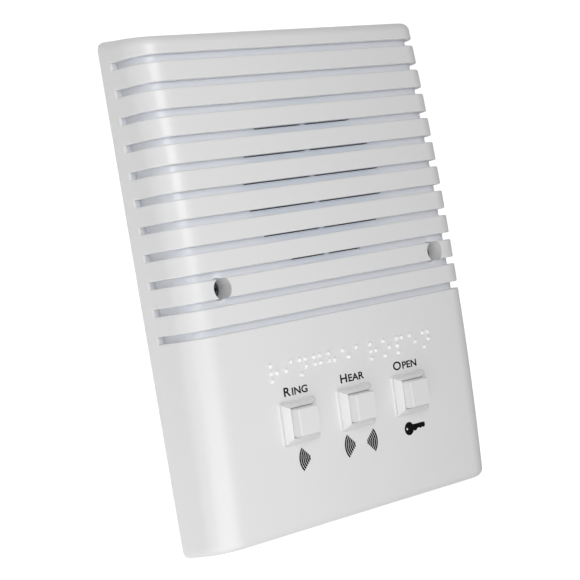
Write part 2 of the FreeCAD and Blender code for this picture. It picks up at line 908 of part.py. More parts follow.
def speaker_surround():
    # a rolled ring between the cone's edge and the basket's flange, with a flat lip on each side
    lip_start = cone_edge_radius - surround_lip_width
    lip = ring(cone_edge_radius, lip_start, surround_front_y, surround_thickness, vent_z)
    roll_end = flange_inner_radius - basket_thickness
    roll = half_roll(cone_edge_radius, roll_end, surround_front_y, surround_thickness, surround_roll_depth)
    rim = ring(speaker_radius, roll_end, surround_front_y, surround_thickness, vent_z)
    return lip.fuse([roll, rim]).removeSplitter()


def dust_cap():
    foot = cone_y(dust_cap_radius)
    outer_radius = (dust_cap_radius ** 2 + dust_cap_height ** 2) / (2 * dust_cap_height)
    centre = vec(0, foot - dust_cap_height + outer_radius, vent_z)
    dome = Part.makeSphere(outer_radius, centre).cut(Part.makeSphere(outer_radius - cone_thickness, centre))
    keep = cylinder(0, foot - 2 * dust_cap_height, vent_z, dust_cap_radius, 2 * dust_cap_height)
    return dome.common(keep)


def speaker_spider():
    # a corrugated disc between the coil former and the basket's ledge
    start = coil_inner_radius + coil_former_thickness
    ledge_y = flange_front_y + basket_ledge_depth
    end = basket_ledge_outer_radius
    foot_y = ledge_y - spider_thickness
    roll_width = (basket_ledge_inner_radius - basket_thickness - start) / (2 * spider_roll_count)
    parts = []
    for i in range(2 * spider_roll_count):
        inner = start + i * roll_width
        depth = spider_roll_height if i % 2 == 0 else -spider_roll_height
        parts.append(half_roll(inner, inner + roll_width, foot_y, spider_thickness, depth))
    land_start = start + 2 * spider_roll_count * roll_width
    parts.append(ring(end, land_start, foot_y, spider_thickness, vent_z))
    return parts[0].fuse(parts[1:]).removeSplitter()


def speaker_clamps():
    clamps = []
    inner = speaker_radius - clamp_bite
    outer = clamp_screw_radius + clamp_end_margin
    for i, (x, z) in enumerate(on_circle(clamp_count, clamp_screw_radius, vent_z, 45)):
        clamp = box((inner + outer) / 2, flange_back_y, 0, outer - inner, clamp_thickness, clamp_width)
        clamp = clamp.makeFillet(clamp_corner_radius, edges_along_y(clamp))
        clamp = clamp.cut(cylinder(clamp_screw_radius, flange_back_y, 0, small_hole_radius, clamp_thickness))
        clamp.rotate(vec(0, 0, 0), vec(0, 1, 0), -(45 + 360 * i / clamp_count))
        clamp.translate(vec(0, 0, vent_z))
        clamps.append(clamp)
    return Part.makeCompound(clamps)


def speaker_clamp_screws():
    screws = []
    seat_y = flange_back_y + clamp_thickness
    for x, z in on_circle(clamp_count, clamp_screw_radius, vent_z, 45):
        length = seat_y - clamp_pilot_start(z) - small_screw_end_gap
        screws.append(small_screw(x, z, seat_y, length))
    return Part.makeCompound(screws)


def strip_bottom_z():
    return vent_z - speaker_radius + strip_overlap - strip_height


def speaker_terminal_strip():
    bottom = strip_bottom_z()
    strip = box(0, flange_back_y, bottom + strip_height / 2, strip_width, strip_thickness, strip_height)
    tags = []
    for x in (-tag_spacing / 2, tag_spacing / 2):
        tag_y = flange_back_y + strip_thickness
        tags.append(box(x, tag_y, bottom + strip_height / 2, tag_width, tag_thickness, tag_height))
    return strip.fuse(tags)


def rounded_route(points, radius):
    # straight runs joined by tangent arcs
    edges = []
    start = points[0]
    for before, corner, after in zip(points, points[1:], points[2:]):
        back = (before - corner).normalize()
        ahead = (after - corner).normalize()
        half_turn = (math.pi - back.getAngle(ahead)) / 2
        cut = radius * math.tan(half_turn)
        arc_start = corner + back * cut
        arc_end = corner + ahead * cut
        edges.append(Part.makeLine(start, arc_start))
        edges.append(tangent_arc(arc_start, arc_end, back * -1))
        start = arc_end
    edges.append(Part.makeLine(start, points[-1]))
    return Part.Wire(edges)


def speaker_lead(tag_x, pin_x, drop):
    # from a tag on the terminal strip, down and across to the plug on the circuit board
    strip_z = strip_bottom_z()
    tag_back_y = flange_back_y + strip_thickness + tag_thickness
    start_y = tag_back_y + lead_radius
    plug_y = board_back_y + header_height / 2
    plug_top = board_top - plug_grip + plug_length
    across_z = strip_z + strip_height - drop - lead_bend_radius
    points = [
        vec(tag_x, start_y, strip_z + lead_overlap + lead_bend_radius),
        vec(tag_x, start_y, across_z),
        vec(pin_x, plug_y, across_z),
        vec(pin_x, plug_y, plug_top),
    ]
    route = rounded_route(points, lead_bend_radius)
    circle = Part.Circle(points[0], points[1] - points[0], lead_radius).toShape()
    return route.makePipeShell([Part.Wire([circle])], True, False)


def terminal_columns():
    first = -(terminal_ways - 1) * terminal_pitch / 2
    return [first + i * terminal_pitch for i in range(terminal_ways)]


def terminal_z():
    return board_top - terminal_below_board_top


def terminal_block():
    z = terminal_z()
    block = box(0, board_back_y, z, terminal_ways * terminal_pitch, terminal_height, terminal_depth)
    back_y = board_back_y + terminal_height
    top = z + terminal_depth / 2
    for x in terminal_columns():
        screw_depth = terminal_screw_length + terminal_screw_sunk
        radius = terminal_screw_radius + thread_clearance
        block = block.cut(cylinder(x, back_y - screw_depth, z, radius, screw_depth))
        hole_z = top - terminal_wire_hole_depth / 2
        hole_y = back_y - screw_depth - terminal_wire_hole / 2
        hole = box(x, hole_y, hole_z, terminal_wire_hole, terminal_wire_hole, terminal_wire_hole_depth)
        block = block.cut(hole)
    return block


def terminal_screws():
    screws = []
    back_y = board_back_y + terminal_height - terminal_screw_sunk
    start_y = back_y - terminal_screw_length
    for x in terminal_columns():
        screw = cylinder(x, start_y, terminal_z(), terminal_screw_radius, terminal_screw_length)
        slot = box(x, back_y - slot_depth, terminal_z(), 2 * terminal_screw_radius, slot_depth, slot_width)
        screws.append(screw.cut(slot))
    return Part.makeCompound(screws)


def lead_header():
    middle_z = board_top - header_length / 2
    shell = box(header_x, board_back_y, middle_z, header_width, header_height, header_length)
    width = header_width - 2 * header_wall
    height = header_height - 2 * header_wall
    socket_z = middle_z + header_wall
    return shell.cut(box(header_x, board_back_y + header_wall, socket_z, width, height, header_length))


def lead_plug():
    width = header_width - 2 * (header_wall + plug_margin)
    height = header_height - 2 * (header_wall + plug_margin)
    z = board_top - plug_grip + plug_length / 2
    return box(header_x, board_back_y + header_wall + plug_margin, z, width, height, plug_length)


def coupling_capacitor():
    z = board_bottom + part_row_above_board_bottom
    can = cylinder(capacitor_x, board_front_y - capacitor_height, z, capacitor_radius, capacitor_height)
    front_y = board_front_y - capacitor_height
    rim = [edge for edge in can.Edges if abs(middle(edge).y - front_y) < touch]
    return can.makeFillet(capacitor_edge_radius, rim)


def board_resistors():
    resistors = []
    for i in (-0.5, 0.5):
        z = board_bottom + part_row_above_board_bottom + i * resistor_spacing
        y = board_front_y - resistor_radius
        start = resistor_x - resistor_length / 2
        body = Part.makeCylinder(resistor_radius, resistor_length, vec(start, y, z), vec(1, 0, 0))
        reach = resistor_length / 2 + resistor_wire_reach
        points = [
            vec(resistor_x - reach, board_front_y, z),
            vec(resistor_x - reach, y, z),
            vec(resistor_x + reach, y, z),
            vec(resistor_x + reach, board_front_y, z),
        ]
        route = rounded_route(points, resistor_wire_bend)
        circle = Part.Circle(points[0], vec(0, 1, 0), resistor_wire_radius).toShape()
        wire = route.makePipeShell([Part.Wire([circle])], True, False)
        resistors.append(body.fuse(wire))
    return Part.makeCompound(resistors)


def save(name, shape):
    shape.exportStep("parts/" + name + ".step")
    print(name, len(shape.Solids), "solids, valid", shape.isValid(), "volume", round(shape.Volume, 1))


os.makedirs("parts", exist_ok=True)

save("front_cover", front_cover())
save("wall_plate", wall_plate())
save("cover_screws", Part.makeCompound([cover_screw(x) for x in cover_screw_columns]))

for side_name, column_x in button_columns:
    save(side_name + "_button_cap", button_cap(column_x))
    save(side_name + "_switch_body", switch_body(column_x))
    save(side_name + "_switch_plunger", switch_plunger(column_x))
    save(side_name + "_switch_spring", switch_spring(column_x))
save("switch_pins", switch_pins())

save("speaker_cloth", speaker_cloth())
save("speaker_gasket", speaker_gasket())
save("speaker_basket", speaker_basket())
save("speaker_top_plate", speaker_top_plate())
save("speaker_magnet", speaker_magnet())
save("speaker_yoke", speaker_yoke())
save("voice_coil", voice_coil())
save("speaker_cone", speaker_cone())
save("speaker_surround", speaker_surround())
save("speaker_dust_cap", dust_cap())
save("speaker_spider", speaker_spider())
save("speaker_clamps", speaker_clamps())
save("speaker_clamp_screws", speaker_clamp_screws())
save("speaker_terminal_strip", speaker_terminal_strip())

save("circuit_board", circuit_board())
save("board_screws", board_screws())
save("terminal_block", terminal_block())
save("terminal_screws", terminal_screws())
save("lead_header", lead_header())
save("lead_plug", lead_plug())
save("speaker_lead_red", speaker_lead(tag_spacing / 2, header_x + lead_pitch / 2, red_lead_drop))
save("speaker_lead_black", speaker_lead(-tag_spacing / 2, header_x - lead_pitch / 2, black_lead_drop))
save("coupling_capacitor", coupling_capacitor())
save("board_resistors", board_resistors())
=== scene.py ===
import bpy
import math
import numpy as np
from mathutils import Matrix, Vector


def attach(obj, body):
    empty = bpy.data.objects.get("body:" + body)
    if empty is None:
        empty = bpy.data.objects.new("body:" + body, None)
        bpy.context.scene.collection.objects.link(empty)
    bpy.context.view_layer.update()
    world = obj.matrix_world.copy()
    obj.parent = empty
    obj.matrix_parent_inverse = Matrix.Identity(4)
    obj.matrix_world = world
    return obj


# Looks for the intercom speaker station: finishes, the print on the panel, wall, lamps and camera.
# Sizes in the dictionaries are millimetres and angles are degrees.

mm = 0.001

# a Mix node's colour sockets go by number, because other sockets share their names
mixFirst, mixSecond, mixResult = 6, 7, 2

# The cover's moulded shape, which the print and the cover's finish follow
panel = {
    "crownRadius": 1019.18,
    "crownFront": 22.1,
    "firstGrooveTop": 73.2,
    "groovePitch": 8.467,
    "grooveHeight": 2.3,
    "lastGrooveBottom": -14.0,
    "grooveDepth": 1.6,  # deeper behind the face than this is groove floor
    "floorHalfWidth": 61.3,
    "ventCentreZ": 28.6,
    "ventHalfWidth": 30.2,
    "ventHalfHeight": 27.0,
    "dotsBottom": -33.0,
    "dotsTop": -24.0,
    "dotFoot": 0.12,  # further out from the face than this is a raised dot
}


def linear(hexColour):
    # sRGB hex to the linear values that shaders use
    values = [int(hexColour[i:i + 2], 16) / 255 for i in (1, 3, 5)]
    return tuple([v / 12.92 if v <= 0.04045 else ((v + 0.055) / 1.055) ** 2.4 for v in values] + [1.0])


def darker(colour, share):
    # a linear colour with this share of its light taken away
    return tuple([c * (1 - share) for c in colour[:3]] + [1.0])


def addNode(tree, kind, inputs=None, **settings):
    # one shader node with its settings; each input goes by name or number
    # and is a plain value or the socket that feeds it
    node = tree.nodes.new(kind)
    for name, value in settings.items():
        setattr(node, name, value)
    for key, source in (inputs or {}).items():
        if isinstance(source, bpy.types.NodeSocket):
            tree.links.new(source, node.inputs[key])
        else:
            node.inputs[key].default_value = source
    return node


def newMaterial(name):
    material = bpy.data.materials.new(name)
    material.use_nodes = True
    material.node_tree.nodes.clear()
    return material, material.node_tree


fineLayers = 0.6  # how strongly the finer layers of a grain show


def grainHeight(tree, size, detail):
    # fine noise whose scale is a real size, from object coordinates
    coords = addNode(tree, "ShaderNodeTexCoord")
    noise = addNode(tree, "ShaderNodeTexNoise", {
        "Vector": coords.outputs["Object"],
        "Scale": 1 / (size * mm),
        "Detail": detail,
        "Roughness": fineLayers,
    })
    return noise.outputs["Fac"]


coverFinish = {
    "face": "#E9E9E9",
    # painted shade: the groove floors get a cool tone, and a bluer, darker one over the speaker
    "paintedFloorShade": "#ECEEF4",
    "paintedVentShade": "#DDE3EC",
    # painted highlight: the raised dots are coloured lighter than the face
    "paintedDotHighlight": "#FCFCFC",
    "fade": (0.75, 1.25),  # shares of the vent's oval between which one floor colour turns to the other
    "roughness": (0.26, 0.32),
    "grain": 0.35,  # coarser than the mould's real texture, so that it shows
    "grainDetail": 4.0,
    "bump": 0.12,
    "bumpHeight": 0.03,
    "edge": 0.25,
    "edgeSamples": 6,
}


def coverPlastic():
    # Satin white ABS from a finely textured mould: a soft sheen down the crown and softly lit edges.
    # The groove floors carry painted shade, a cool tone that turns bluer and darker over the speaker,
    # and the raised dots carry a painted highlight: they are coloured lighter than the face.
    p, f = panel, coverFinish
    material, tree = newMaterial("White ABS, satin moulded")
    coords = addNode(tree, "ShaderNodeTexCoord")
    split = addNode(tree, "ShaderNodeSeparateXYZ", {"Vector": coords.outputs["Object"]})
    sums = {"x": split.outputs["X"], "y": split.outputs["Y"], "z": split.outputs["Z"]}
    # each row: a result's name, how it is worked out, and the two results or metres it comes from
    steps = [
        ("zSquared", "MULTIPLY", "z", "z"),
        ("crown", "DIVIDE", "zSquared", 2 * p["crownRadius"] * mm),
        ("fromCrown", "SUBTRACT", "y", "crown"),
        ("depth", "ADD", "fromCrown", p["crownFront"] * mm),
        ("belowTop", "SUBTRACT", p["firstGrooveTop"] * mm, "z"),
        ("intoPitch", "FLOORED_MODULO", "belowTop", p["groovePitch"] * mm),
        ("deep", "GREATER_THAN", "depth", p["grooveDepth"] * mm),
        ("atGroove", "LESS_THAN", "intoPitch", p["grooveHeight"] * mm),
        ("deepGroove", "MULTIPLY", "deep", "atGroove"),
        ("aboveLast", "GREATER_THAN", "z", p["lastGrooveBottom"] * mm),
        ("sideways", "ABSOLUTE", "x", 0.0),
        ("insideSides", "LESS_THAN", "sideways", p["floorHalfWidth"] * mm),
        ("inGrille", "MULTIPLY", "aboveLast", "insideSides"),
        ("paintedShadeMask", "MULTIPLY", "deepGroove", "inGrille"),
        ("ovalX", "DIVIDE", "x", p["ventHalfWidth"] * mm),
        ("fromVent", "SUBTRACT", "z", p["ventCentreZ"] * mm),
        ("ovalZ", "DIVIDE", "fromVent", p["ventHalfHeight"] * mm),
        ("ovalXSquared", "MULTIPLY", "ovalX", "ovalX"),
        ("ovalZSquared", "MULTIPLY", "ovalZ", "ovalZ"),
        ("ovalSquares", "ADD", "ovalXSquared", "ovalZSquared"),
        ("ovalShare", "SQRT", "ovalSquares", 0.0),
        ("raised", "LESS_THAN", "depth", -p["dotFoot"] * mm),
        ("aboveBottom", "GREATER_THAN", "z", p["dotsBottom"] * mm),
        ("belowDotsTop", "LESS_THAN", "z", p["dotsTop"] * mm),
        ("inDotRow", "MULTIPLY", "aboveBottom", "belowDotsTop"),
        ("paintedDotHighlightMask", "MULTIPLY", "raised", "inDotRow"),
    ]
    for result, operation, first, second in steps:
        sources = {0: sums.get(first, first), 1: sums.get(second, second)}
        sums[result] = addNode(tree, "ShaderNodeMath", sources, operation=operation).outputs["Value"]
    # painted shade on the groove floors, fading from the darker tone inside the vent's oval to the
    # lighter one
    paintedVentShadeMask = addNode(tree, "ShaderNodeMapRange", {
        "Value": sums["ovalShare"],
        "From Min": f["fade"][0],
        "From Max": f["fade"][1],
        "To Min": 1.0,
        "To Max": 0.0,
    }, interpolation_type="SMOOTHSTEP")
    paintedFloorShadeColour = addNode(tree, "ShaderNodeMix", {
        "Factor": paintedVentShadeMask.outputs["Result"],
        mixFirst: linear(f["paintedFloorShade"]),
        mixSecond: linear(f["paintedVentShade"]),
    }, data_type="RGBA")
    faceAndPaintedShade = addNode(tree, "ShaderNodeMix", {
        "Factor": sums["paintedShadeMask"],
        mixFirst: linear(f["face"]),
        mixSecond: paintedFloorShadeColour.outputs[mixResult],
    }, data_type="RGBA")
    # painted highlight: the raised dots are coloured lighter than the face
    colour = addNode(tree, "ShaderNodeMix", {
        "Factor": sums["paintedDotHighlightMask"],
        mixFirst: faceAndPaintedShade.outputs[mixResult],
        mixSecond: linear(f["paintedDotHighlight"]),
    }, data_type="RGBA")
    grain = grainHeight(tree, f["grain"], f["grainDetail"])
    gloss = addNode(tree, "ShaderNodeMapRange", {
        "Value": grain, "To Min": f["roughness"][0], "To Max": f["roughness"][1],
    })
    roundedEdge = addNode(tree, "ShaderNodeBevel", {"Radius": f["edge"] * mm}, samples=f["edgeSamples"])
    texture = addNode(tree, "ShaderNodeBump", {
        "Height": grain,
        "Strength": f["bump"],
        "Distance": f["bumpHeight"] * mm,
        "Normal": roundedEdge.outputs["Normal"],
    })
    shader = addNode(tree, "ShaderNodeBsdfPrincipled", {
        "Base Color": colour.outputs[mixResult],
        "Roughness": gloss.outputs["Result"],
        "Normal": texture.outputs["Normal"],
    })
    addNode(tree, "ShaderNodeOutputMaterial", {"Surface": shader.outputs["BSDF"]})
    return material


# Woven cloths: an even weave that looks matt, with painted shade in the gaps between the threads
wovenFinishes = {
    # painted shade: the gaps are coloured dark, standing in for the dark inside that the real weave lets
    # show
    "cloth": {  # open weave: grey, and dark where it lets the inside show
        "name": "Speaker cloth", "colour": "#7C828C", "roughness": 0.9, "threadPitch": 0.5,
    },
    "spiderCloth": {  # weave stiffened with resin: brown and a little less matt
        "name": "Resin-treated cloth", "colour": "#B18A45", "roughness": 0.8, "threadPitch": 0.45,
    },
}
weave = {
    "waveTurn": 20.0,  # radians that a Wave texture of scale 1 turns in one metre
    "distortion": 0.3,
    "paintedGapShade": 0.65,
    "bump": 0.5,
    "threadHeight": 0.1,
}


def wovenCloth(name, colour, roughness, threadPitch):
    # crossed threads: two sets of bands at right angles, as colour and height
    material, tree = newMaterial(name)
    coords = addNode(tree, "ShaderNodeTexCoord")
    bands = []
    for direction in ("X", "Z"):
        wave = addNode(tree, "ShaderNodeTexWave", {
            "Vector": coords.outputs["Object"],
            "Scale": 2 * math.pi / (weave["waveTurn"] * threadPitch * mm),
            "Distortion": weave["distortion"],
        }, wave_type="BANDS", bands_direction=direction)
        bands.append(wave.outputs["Fac"])
    threads = addNode(tree, "ShaderNodeMath", {0: bands[0], 1: bands[1]}, operation="MULTIPLY")
    base = linear(colour)
    # painted shade: the gaps between the threads are coloured darker than the threads
    tone = addNode(tree, "ShaderNodeMix", {
        "Factor": threads.outputs["Value"],
        mixFirst: darker(base, weave["paintedGapShade"]),
        mixSecond: base,
    }, data_type="RGBA")
    texture = addNode(tree, "ShaderNodeBump", {
        "Height": threads.outputs["Value"],
        "Strength": weave["bump"],
        "Distance": weave["threadHeight"] * mm,
    })
    shader = addNode(tree, "ShaderNodeBsdfPrincipled", {
        "Base Color": tone.outputs[mixResult],
        "Roughness": roughness,
        "Normal": texture.outputs["Normal"],
    })
    addNode(tree, "ShaderNodeOutputMaterial", {"Surface": shader.outputs["BSDF"]})
    return material


# Plain finishes. Grain and edge are millimetres, and the grain is coarser than the real one, so that
# it shows. Shade is the share by which the tone darkens in the grain.
plainFinishes = {
    "cap": {  # moulded with a fine matt texture: a broad sheen and no clear reflection
        "name": "White ABS, fine matt", "colour": "#EAEAEA", "roughness": 0.40,
        "grain": 0.3, "shade": 0.02, "bump": 0.08, "edge": 0.12,
    },
    "ink": {  # printed through a screen: flat black that hardly shines
        "name": "Black screen ink", "colour": "#0C0C0E", "roughness": 0.55,
        "grain": 0.4, "shade": 0.1, "gloss": 0.12,
    },
    "darkZinc": {  # plated and passivated: dull grey metal with lit edges
        "name": "Steel, dark zinc plated", "colour": "#5C6066", "roughness": 0.32, "metal": 1.0,
        "grain": 0.4, "shade": 0.2, "bump": 0.05, "edge": 0.1,
    },
    "brightZinc": {  # plated: bright bluish metal, a little uneven
        "name": "Steel, bright zinc plated", "colour": "#B4B8BE", "roughness": 0.30, "metal": 1.0,
        "grain": 0.6, "shade": 0.15, "bump": 0.03, "edge": 0.08,
    },
    "plateZinc": {  # plated sheet: pale metal with a broad, cloudy sheen
        "name": "Sheet steel, zinc plated", "colour": "#A9AEB4", "roughness": 0.38, "metal": 1.0,
        "grain": 3.0, "shade": 0.18, "edge": 0.1,
    },
    "springSteel": {  # drawn wire: smooth metal with a narrow highlight
        "name": "Spring steel wire", "colour": "#9A9DA2", "roughness": 0.28, "metal": 1.0,
        "grain": 0.5, "shade": 0.1,
    },
    "tin": {  # dipped: soft silvery metal
        "name": "Tinned copper", "colour": "#C2C2C4", "roughness": 0.35, "metal": 1.0,
        "grain": 0.5, "shade": 0.1,
    },
    "blackPaint": {  # sprayed: black with a slight orange-peel sheen
        "name": "Steel, black paint", "colour": "#1B1C1E", "roughness": 0.42,
        "grain": 0.5, "shade": 0.2, "bump": 0.06,
    },
    "ferrite": {  # sintered and ground: dark grey and stony
        "name": "Ferrite magnet", "colour": "#26272A", "roughness": 0.62,
        "grain": 0.5, "shade": 0.25, "bump": 0.2,
    },
    "copper": {  # lacquered winding: warm brown metal
        "name": "Enamelled copper wire", "colour": "#A5622F", "roughness": 0.30, "metal": 1.0,
        "grain": 0.3, "shade": 0.2,
    },
    "paper": {  # pressed pulp: black, fibrous and matt
        "name": "Pressed paper, black", "colour": "#1E1D1D", "roughness": 0.85,
        "grain": 0.8, "shade": 0.35, "bump": 0.4,
    },
    "foam": {  # cut foam: black with open pores and no shine
        "name": "Closed-cell foam", "colour": "#1C1C1D", "roughness": 0.95,
        "grain": 0.3, "shade": 0.3, "bump": 0.5,
    },
    "rubberCloth": {  # coated weave: black and slightly rough
        "name": "Treated cloth surround", "colour": "#202021", "roughness": 0.75,
        "grain": 0.4, "shade": 0.2, "bump": 0.3,
    },
    "switchPlastic": {  # moulded: black with a soft sheen
        "name": "Black nylon", "colour": "#1A1A1B", "roughness": 0.48,
        "grain": 0.4, "shade": 0.1,
    },
    "plunger": {  # moulded, not coloured: creamy and a little waxy
        "name": "Acetal, natural", "colour": "#D9D3C0", "roughness": 0.40,
        "grain": 0.5, "shade": 0.05,
    },
    "phenolic": {  # punched from brown board: flat and slightly fibrous
        "name": "Phenolic board", "colour": "#7A5332", "roughness": 0.55,
        "grain": 0.6, "shade": 0.2, "bump": 0.1,
    },
    "solderMask": {  # lacquered glass board: green with the weave's cloudiness under it
        "name": "Circuit board, green mask", "colour": "#1B5A35", "roughness": 0.32,
        "grain": 1.5, "shade": 0.3,
    },
    "terminal": {  # moulded: even green
        "name": "Terminal moulding, green", "colour": "#2E7D4A", "roughness": 0.42,
        "grain": 0.5, "shade": 0.08,
    },
    "nylon": {  # moulded, not coloured: off-white
        "name": "White nylon", "colour": "#DDD8CA", "roughness": 0.45,
        "grain": 0.5, "shade": 0.05,
    },
    "redWire": {  # extruded PVC: smooth red
        "name": "Red wire insulation", "colour": "#A8201A", "roughness": 0.40,
        "grain": 0.6, "shade": 0.1,
    },
    "blackWire": {  # extruded PVC: smooth black
        "name": "Black wire insulation", "colour": "#1C1C1E", "roughness": 0.40,
        "grain": 0.6, "shade": 0.1,
    },
    "sleeve": {  # shrunk film: dark blue and fairly glossy
        "name": "Capacitor sleeve, blue", "colour": "#22315E", "roughness": 0.35,
        "grain": 0.8, "shade": 0.1,
    },
    "resistor": {  # dipped lacquer: beige
        "name": "Resistor lacquer", "colour": "#C9AC7A", "roughness": 0.45,
        "grain": 0.5, "shade": 0.1,
    },
}
plainSurface = {
    "grainDetail": 3.0,
    "roughnessSpread": 0.1,
    "bumpHeight": 0.05,
    "edgeSamples": 4,
}


def plainFinish(name, colour, roughness, grain, shade, metal=0.0, bump=0.0, edge=0.0, gloss=0.5):
    # one colour, a little uneven in tone and gloss, with rounded edges or a fine texture where asked for
    material, tree = newMaterial(name)
    height = grainHeight(tree, grain, plainSurface["grainDetail"])
    base = linear(colour)
    tone = addNode(tree, "ShaderNodeMix", {
        "Factor": height, mixFirst: darker(base, shade), mixSecond: base,
    }, data_type="RGBA")
    spread = plainSurface["roughnessSpread"]
    sheen = addNode(tree, "ShaderNodeMapRange", {
        "Value": height, "To Min": roughness * (1 - spread), "To Max": roughness * (1 + spread),
    })
    normal = {}
    if edge > 0:
        rounded = addNode(tree, "ShaderNodeBevel", {
            "Radius": edge * mm,
        }, samples=plainSurface["edgeSamples"])
        normal = {"Normal": rounded.outputs["Normal"]}
    if bump > 0:
        texture = addNode(tree, "ShaderNodeBump", {
            "Height": height, "Strength": bump, "Distance": plainSurface["bumpHeight"] * mm, **normal,
        })
        normal = {"Normal": texture.outputs["Normal"]}
    shader = addNode(tree, "ShaderNodeBsdfPrincipled", {
        "Base Color": tone.outputs[mixResult],
        "Roughness": sheen.outputs["Result"],
        "Metallic": metal,
        "Specular IOR Level": gloss,
        **normal,
    })
    addNode(tree, "ShaderNodeOutputMaterial", {"Surface": shader.outputs["BSDF"]})
    return material


def makeMaterials():
    made = {"cover": coverPlastic()}
    for key, finish in plainFinishes.items():
        made[key] = plainFinish(**finish)
    for key, finish in wovenFinishes.items():
        made[key] = wovenCloth(**finish)
    return made


nodeFinish = {
    "front_cover": "cover", "wall_plate": "plateZinc", "cover_screws": "darkZinc",
    "switch_pins": "tin", "speaker_cloth": "cloth", "speaker_gasket": "foam",
    "speaker_basket": "blackPaint", "speaker_top_plate": "plateZinc", "speaker_magnet": "ferrite",
    "speaker_yoke": "plateZinc", "voice_coil": "copper", "speaker_cone": "paper",
    "speaker_surround": "rubberCloth", "speaker_dust_cap": "paper", "speaker_spider": "spiderCloth",
    "speaker_clamps": "plateZinc", "speaker_clamp_screws": "brightZinc",
    "speaker_terminal_strip": "phenolic", "circuit_board": "solderMask", "board_screws": "brightZinc",
    "terminal_block": "terminal", "terminal_screws": "brightZinc", "lead_header": "nylon",
    "lead_plug": "nylon", "speaker_lead_red": "redWire", "speaker_lead_black": "blackWire",
    "coupling_capacitor": "sleeve", "board_resistors": "resistor",
}
for side in ("left", "centre", "right"):
    nodeFinish[side + "_button_cap"] = "cap"
    nodeFinish[side + "_switch_body"] = "switchPlastic"
    nodeFinish[side + "_switch_plunger"] = "plunger"
    nodeFinish[side + "_switch_spring"] = "springSteel"


def faceY(z):
    # the crowned face: an arc over the height, furthest out at z = 0
    return -panel["crownFront"] + panel["crownRadius"] - np.sqrt(panel["crownRadius"] ** 2 - z ** 2)


def meshPiece(name, points, faces, material):
    # an object at the origin whose corners are given in millimetres in the panel's own frame
    mesh = bpy.data.meshes.new(name)
    mesh.from_pydata((points * mm).tolist(), [], faces)
    mesh.materials.append(material)
    mesh.update()
    piece = bpy.data.objects.new(name, mesh)
    bpy.context.scene.collection.objects.link(piece)
    return piece


def joined(shapes):
    # several sets of points and faces as one: the face numbers of each move past the points before it
    starts = np.cumsum([0] + [len(points) for points, _ in shapes])
    faces = []
    for (_, own), start in zip(shapes, starts):
        faces += (own + start).tolist()
    return np.concatenate([points for points, _ in shapes]), faces


def flipToFront(piece):
    # flat pieces: every face looks out of the panel
    for polygon in piece.data.polygons:
        if polygon.normal.y > 0:
            polygon.flip()
    piece.data.update()


def facingOut(piece):
    # closed pieces: turn all faces outward
    bpy.context.view_layer.objects.active = piece
    piece.select_set(True)
    bpy.ops.object.mode_set(mode="EDIT")
    bpy.ops.mesh.select_all(action="SELECT")
    bpy.ops.mesh.normals_make_consistent(inside=False)
    bpy.ops.object.mode_set(mode="OBJECT")
    piece.select_set(False)
    return piece


def inkStrip(outer, inner, sign):
    # A thin bar of ink between two rows of (x, z) points of one length, the first row above or outside
    # the second. Both rows stand on the crowned face at the ink's front and at its back,
    # y = faceY(z) - level, and neighbouring points of the four rows are joined all round.
    rows = np.stack([outer, inner])
    levels = np.array([sign["lift"] + sign["thickness"], sign["lift"]])
    x, z = rows[..., 0], rows[..., 1]
    y = faceY(z) - levels[:, None, None]
    points = np.stack(np.broadcast_arrays(x, y, z), axis=-1).reshape(-1, 3)
    a, b, c, d = np.arange(len(points)).reshape(4, -1)  # outer and inner front, outer and inner back
    sides = np.array([
        [a[:-1], a[1:], b[1:], b[:-1]],
        [c[:-1], d[:-1], d[1:], c[1:]],
        [a[:-1], c[:-1], c[1:], a[1:]],
        [b[:-1], b[1:], d[1:], d[:-1]],
    ]).transpose(2, 0, 1).reshape(-1, 4)
    ends = np.array([[a[0], b[0], d[0], c[0]], [a[-1], c[-1], d[-1], b[-1]]])
    return points, np.concatenate([sides, ends])


# Words above the buttons: the first letter is taller than the rest
words = {
    "texts": [("R", "ING", -24.9), ("H", "EAR", 0.3), ("O", "PEN", 25.2)],
    "baseline": -36.55,
    "firstHeight": 2.85,
    "restHeight": 2.35,
    "capitalShare": 0.729,  # height of a capital letter as a share of the font's size
    "stretch": 1.25,
    "letterGap": 0.6,
    "boldness": 0.08,
    "curveSteps": 6,
    "lift": 0.02,
}


def letterShapes(text, height):
    # letters of the plain built-in font, laid flat: their points, their faces and their width
    curve = bpy.data.curves.new("letters", "FONT")
    curve.body = text
    curve.size = height / words["capitalShare"]
    curve.offset = words["boldness"]
    curve.resolution_u = words["curveSteps"]
    holder = bpy.data.objects.new("letters", curve)
    bpy.context.scene.collection.objects.link(holder)
    graph = bpy.context.evaluated_depsgraph_get()
    mesh = bpy.data.meshes.new_from_object(holder.evaluated_get(graph))
    flat = np.empty(len(mesh.vertices) * 3, dtype=np.float32)
    mesh.vertices.foreach_get("co", flat)
    points = flat.reshape(-1, 3).astype(float)
    faces = np.array([polygon.vertices[:] for polygon in mesh.polygons])
    bpy.data.objects.remove(holder)
    bpy.data.curves.remove(curve)
    bpy.data.meshes.remove(mesh)
    low, high = points[:, 0].min(), points[:, 0].max()
    points[:, 0] = (points[:, 0] - low) * words["stretch"]
    return points, faces, (high - low) * words["stretch"]


